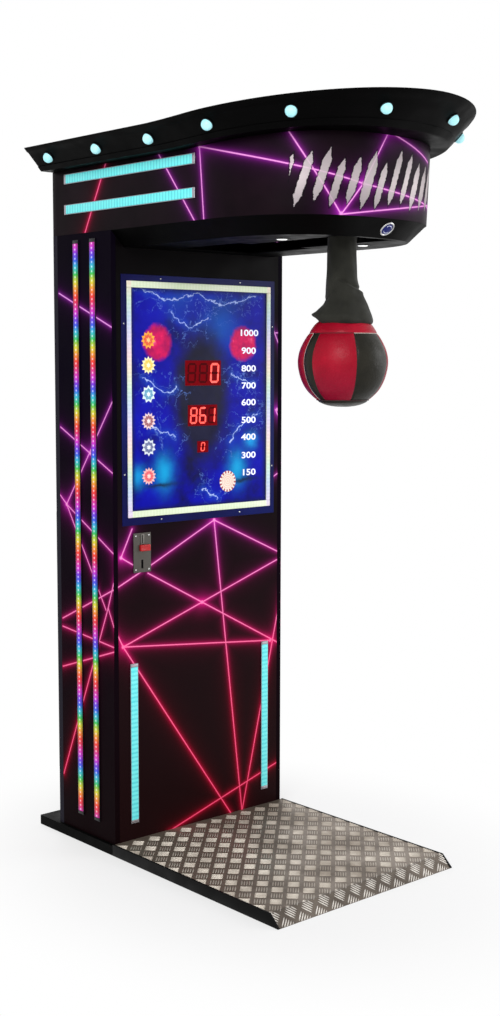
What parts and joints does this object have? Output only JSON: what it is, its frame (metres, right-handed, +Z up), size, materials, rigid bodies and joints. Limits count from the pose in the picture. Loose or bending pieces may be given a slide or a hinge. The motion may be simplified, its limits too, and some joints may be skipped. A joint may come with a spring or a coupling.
{
  "type": "boxing punch machine",
  "caption": "Free-standing punching machine: printed column on a tread-plate platform, overhanging lit head with flared crown, swinging punch ball, scoreboard and coin entry.",
  "frame": {"origin": "on the floor under the middle of the column's front face", "axes": "+Z up, +X to the right of a player facing the machine, -Y towards the player"},
  "size_m": [0.928, 1.4349, 2.292],
  "materials": {
    "black_board": "black laminated board, satin",
    "tread_aluminium": "five-bar tread pattern, lightly scuffed",
    "printed_vinyl": "near-black vinyl wrap printed with glowing magenta and red lines",
    "black_moulding": "black moulding, satin",
    "painted_steel": "grey paint",
    "machined_steel": "machined",
    "zinc_plate": "zinc plated, dull",
    "display_print": "back-lit blue print behind clear acrylic",
    "digit_windows": "dark red window with lit red digits",
    "cyan_light": "lit cyan diffuser",
    "rainbow_light": "lit multicolour diffuser",
    "white_light": "lit white lens",
    "red_plastic": "moulded, glossy",
    "black_plastic": "moulded, matt",
    "ball_leather": "glossy red and black gores with pale piping",
    "sleeve_fabric": "black woven cuff",
    "rubber": "black, matt",
    "circuit_board": "green solder mask"
  },
  "bodies": {
    "cabinet": {"back_kickboard": "black_board", "back_panel": "black_board", "base_platform": "black_board", "bearing_left": "zinc_plate", "bearing_right": "zinc_plate", "cash_box": "painted_steel", "coin_acceptor": "black_plastic", "coin_chute": "zinc_plate", "coin_faceplate": "zinc_plate", "control_board": "circuit_board", "crown": "black_moulding", "crown_bulb_01": "cyan_light", "crown_bulb_02": "cyan_light", "crown_bulb_03": "cyan_light", "crown_bulb_04": "cyan_light", "crown_bulb_05": "cyan_light", "crown_bulb_06": "cyan_light", "crown_bulb_07": "cyan_light", "crown_bulb_08": "cyan_light", "crown_bulb_09": "cyan_light", "crown_bulb_10": "cyan_light", "crown_bulb_11": "cyan_light", "crown_bulb_12": "cyan_light", "digit_board": "digit_windows", "display_panel": "display_print", "door_hinge": "zinc_plate", "downlight_left": "white_light", "downlight_right": "white_light", "front_panel": "printed_vinyl", "front_strip_left": "cyan_light", "front_strip_right": "cyan_light", "head_bar_left_lower": "cyan_light", "head_bar_left_upper": "cyan_light", "head_bar_right_lower": "cyan_light", "head_bar_right_upper": "cyan_light", "head_underside": "black_moulding", "head_wall": "printed_vinyl", "power_inlet": "black_plastic", "power_supply": "zinc_plate", "rubber_stop": "rubber", "side_panel_left": "printed_vinyl", "side_panel_right": "printed_vinyl", "side_strip_left_front": "rainbow_light", "side_strip_left_rear": "rainbow_light", "side_strip_right_front": "rainbow_light", "side_strip_right_rear": "rainbow_light", "solenoid_body": "black_plastic", "speed_sensor": "black_plastic", "steel_frame": "painted_steel", "tread_plate": "tread_aluminium"},
    "punch_arm": {"pivot_axle": "machined_steel", "swing_arm": "machined_steel", "ball": "ball_leather", "ball_sleeve": "sleeve_fabric"},
    "reject_button": {"reject_button": "red_plastic"},
    "power_switch": {"power_switch": "red_plastic"},
    "rear_door": {"rear_door": "black_board"},
    "door_lock": {"door_lock": "zinc_plate"},
    "latch_hook": {"latch_hook": "machined_steel"},
    "solenoid_plunger": {"solenoid_plunger": "machined_steel"}
  },
  "joints": [
    {"name": "punch_swing", "type": "hinge", "parent": "cabinet", "child": "punch_arm", "pos_m": [0, -0.65, 2.02], "axis": [1, 0, 0], "range_deg": [-15, 80]},
    {"name": "reject_press", "type": "slide", "parent": "cabinet", "child": "reject_button", "axis": [0, 1, 0], "range_m": [0, 0.004], "stiffness_N_per_m": 300},
    {"name": "switch_rock", "type": "hinge", "parent": "cabinet", "child": "power_switch", "pos_m": [0.2165, 0.313, 0.115], "axis": [1, 0, 0], "range_deg": [0, 16]},
    {"name": "door_swing", "type": "hinge", "parent": "cabinet", "child": "rear_door", "pos_m": [-0.3385, 0.3185, 0.6515], "axis": [0, 0, 1], "range_deg": [0, 110]},
    {"name": "lock_turn", "type": "hinge", "parent": "rear_door", "child": "door_lock", "pos_m": [0.3, 0.315, 0.6515], "axis": [0, -1, 0], "range_deg": [0, 90]},
    {"name": "hook_drop", "type": "hinge", "parent": "cabinet", "child": "latch_hook", "pos_m": [0, -0.6, 2.112], "axis": [1, 0, 0], "range_deg": [0, 12]},
    {"name": "plunger_slide", "type": "slide", "parent": "cabinet", "child": "solenoid_plunger", "axis": [0, 1, 0], "range_m": [-0.0036, 0]}
  ],
  "couplings": [
    {"joint": "plunger_slide", "follows": "hook_drop", "m_per_rad": -0.016}
  ]
}
